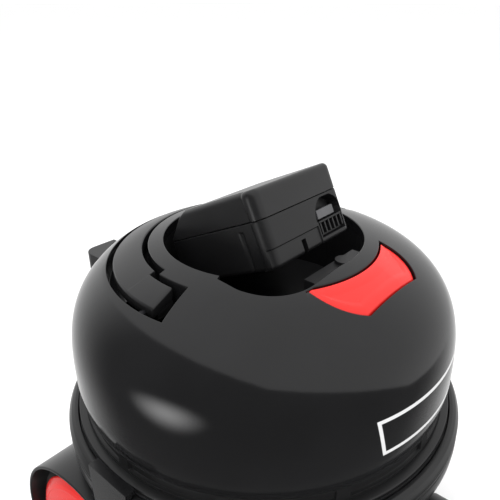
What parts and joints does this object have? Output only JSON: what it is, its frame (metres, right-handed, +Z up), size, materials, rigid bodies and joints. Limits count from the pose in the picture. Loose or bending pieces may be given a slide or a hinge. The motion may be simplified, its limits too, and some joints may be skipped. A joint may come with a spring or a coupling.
{
  "type": "cordless drum vacuum cleaner",
  "caption": "Black battery-powered drum vacuum cleaner on wheels and castors, with a tilting lift-out battery in its domed head, red release paddle, fold-flat carry handle and front hose inlet.",
  "frame": {"origin": "on the floor, under the middle of the bounding box", "axes": "+Z up, front (release paddle and hose inlet) towards -Y, left wheel on -X"},
  "size_m": [0.32, 0.359, 0.3787],
  "materials": {
    "dome_black": "satin black moulded plastic, lightly glossy",
    "satin_black": "satin black moulded plastic",
    "matt_black": "fine-textured black plastic",
    "signal_red": "glossy red plastic",
    "tab_grey": "mid-grey plastic",
    "black_rubber": "matt black rubber",
    "tyre_rubber": "matt black tyre rubber",
    "bright_steel": "bright steel",
    "dark_steel": "blackened steel",
    "contact_copper": "copper contact blade",
    "board_green": "green laminate",
    "cell_wrap": "shrink-wrapped cells",
    "white_cloth": "white non-woven cloth"
  },
  "bodies": {
    "tub_unit": {"tub": "satin_black", "tub_ring": "satin_black", "hose_inlet": "matt_black", "inlet_seal": "black_rubber", "dust_bag": "white_cloth", "filter_frame": "satin_black", "filter_cloth": "white_cloth", "head_seal": "black_rubber", "wheel_axle_left": "bright_steel", "wheel_axle_right": "bright_steel", "clamp_pin_left": "dark_steel", "clamp_pin_right": "dark_steel"},
    "head": {"dome_shell": "dome_black", "handle_pin_left": "dark_steel", "handle_pin_right": "dark_steel", "paddle_spring": "bright_steel", "bay_tray": "matt_black", "contact_block": "matt_black", "contact_blade_left": "contact_copper", "contact_blade_right": "contact_copper", "ejector_pin": "bright_steel", "ejector_spring": "bright_steel", "head_base": "satin_black", "motor_housing": "matt_black", "motor_stator": "bright_steel", "control_board": "board_green", "board_post_front": "satin_black", "board_post_rear": "satin_black", "wand_dock": "satin_black", "dock_screw_left": "bright_steel", "dock_screw_right": "bright_steel"},
    "handle": {"carry_handle": "satin_black"},
    "paddle": {"release_paddle": "signal_red"},
    "latch": {"latch_bolt": "matt_black"},
    "ejector": {"ejector_plate": "matt_black"},
    "battery": {"battery_lower_case": "matt_black", "battery_upper_case": "satin_black", "cell_pack": "cell_wrap", "battery_comb": "matt_black"},
    "battery_tab": {"battery_latch_tab": "tab_grey"},
    "fan": {"motor_shaft": "bright_steel", "fan_impeller": "satin_black"},
    "wheel_left": {"wheel_rim_left": "matt_black", "wheel_tyre_left": "tyre_rubber", "hub_cap_left": "signal_red"},
    "castor_left": {"castor_fork_left": "matt_black", "castor_pin_left": "bright_steel"},
    "castor_roller_left": {"castor_wheel_left": "tyre_rubber"},
    "clamp_left": {"side_clamp_left": "dome_black"},
    "wheel_right": {"wheel_rim_right": "matt_black", "wheel_tyre_right": "tyre_rubber", "hub_cap_right": "signal_red"},
    "castor_right": {"castor_fork_right": "matt_black", "castor_pin_right": "bright_steel"},
    "castor_roller_right": {"castor_wheel_right": "tyre_rubber"},
    "clamp_right": {"side_clamp_right": "dome_black"}
  },
  "joints": [
    {"name": "head_lift", "type": "slide", "parent": "tub_unit", "child": "head", "axis": [0, 0, 1], "range_m": [0, 0.15]},
    {"name": "handle_fold", "type": "hinge", "parent": "head", "child": "handle", "pos_m": [0, -0.003, 0.309], "axis": [1, 0, 0], "range_deg": [0, 90]},
    {"name": "paddle_press", "type": "hinge", "parent": "head", "child": "paddle", "pos_m": [0, -0.0805, 0.321], "axis": [1, 0, 0], "range_deg": [0, 6], "stiffness_Nm_per_rad": 1, "springref_deg": -5.73},
    {"name": "latch_slide", "type": "slide", "parent": "head", "child": "latch", "axis": [0, 1, 0], "range_m": [-0.0045, 0]},
    {"name": "ejector_tilt", "type": "hinge", "parent": "head", "child": "ejector", "pos_m": [0, 0.0475, 0.29], "axis": [1, 0, 0], "range_deg": [0, 25], "stiffness_Nm_per_rad": 4, "springref_deg": -34.38},
    {"name": "battery_lift", "type": "slide", "parent": "ejector", "child": "battery", "axis": [0, 0, -1], "range_m": [-0.08, 0]},
    {"name": "battery_tab_press", "type": "slide", "parent": "battery", "child": "battery_tab", "axis": [0, 0.9063, -0.4226], "range_m": [0, 0.002], "stiffness_N_per_m": 400, "springref_m": -0.002},
    {"name": "fan_spin", "type": "hinge", "parent": "head", "child": "fan", "pos_m": [0, -0.0065, 0.217], "axis": [0, 0, 1], "continuous": true},
    {"name": "wheel_left_roll", "type": "hinge", "parent": "tub_unit", "child": "wheel_left", "pos_m": [0, 0.0401, 0.08], "axis": [1, 0, 0], "continuous": true},
    {"name": "castor_left_swivel", "type": "hinge", "parent": "tub_unit", "child": "castor_left", "pos_m": [-0.06, -0.0945, 0.035], "axis": [0, 0, 1], "continuous": true},
    {"name": "castor_left_roll", "type": "hinge", "parent": "castor_left", "child": "castor_roller_left", "pos_m": [-0.06, -0.0855, 0.0145], "axis": [1, 0, 0], "continuous": true},
    {"name": "clamp_left_open", "type": "hinge", "parent": "tub_unit", "child": "clamp_left", "pos_m": [-0.156, -0.0065, 0.1735], "axis": [0, -1, 0], "range_deg": [0, 70]},
    {"name": "wheel_right_roll", "type": "hinge", "parent": "tub_unit", "child": "wheel_right", "pos_m": [0, 0.0401, 0.08], "axis": [1, 0, 0], "continuous": true},
    {"name": "castor_right_swivel", "type": "hinge", "parent": "tub_unit", "child": "castor_right", "pos_m": [0.06, -0.0945, 0.035], "axis": [0, 0, 1], "continuous": true},
    {"name": "castor_right_roll", "type": "hinge", "parent": "castor_right", "child": "castor_roller_right", "pos_m": [0.06, -0.0855, 0.0145], "axis": [1, 0, 0], "continuous": true},
    {"name": "clamp_right_open", "type": "hinge", "parent": "tub_unit", "child": "clamp_right", "pos_m": [0.156, -0.0065, 0.1735], "axis": [0, 1, 0], "range_deg": [0, 70]}
  ],
  "couplings": [
    {"joint": "latch_slide", "follows": "paddle_press", "m_per_rad": -0.04}
  ]
}
